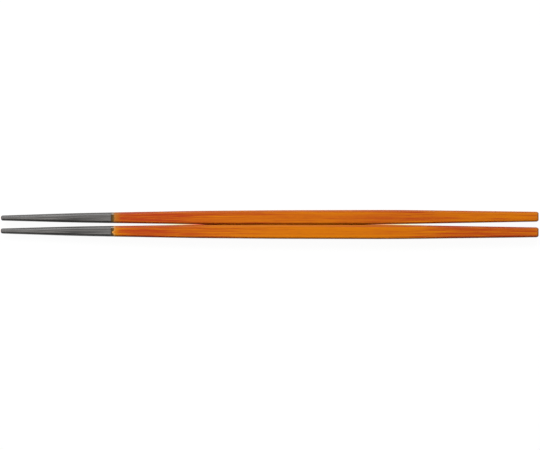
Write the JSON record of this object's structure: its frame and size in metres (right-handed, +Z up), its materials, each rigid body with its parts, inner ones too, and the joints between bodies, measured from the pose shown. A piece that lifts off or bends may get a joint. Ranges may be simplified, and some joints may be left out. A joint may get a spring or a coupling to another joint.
{
  "type": "pair of chopsticks",
  "caption": "Slender square chopsticks with rounded edges, tapering from a flat belly to the head and to a dark gritty grip coat on the tip, lying side by side for picking up food.",
  "frame": {"origin": "bottom centre of the pair, on the table midway between the two sticks and midway between tips and heads", "axes": "+X from the tips to the heads, +Y from the near stick to the far stick, +Z up"},
  "size_m": [0.24, 0.013, 0.0064],
  "materials": {
    "lacquered_wood": "satin",
    "grip_coat": "matte"
  },
  "bodies": {
    "root": {"far_stick": "lacquered_wood", "near_stick": "lacquered_wood", "far_tip_coat": "grip_coat", "near_tip_coat": "grip_coat"}
  },
  "joints": []
}
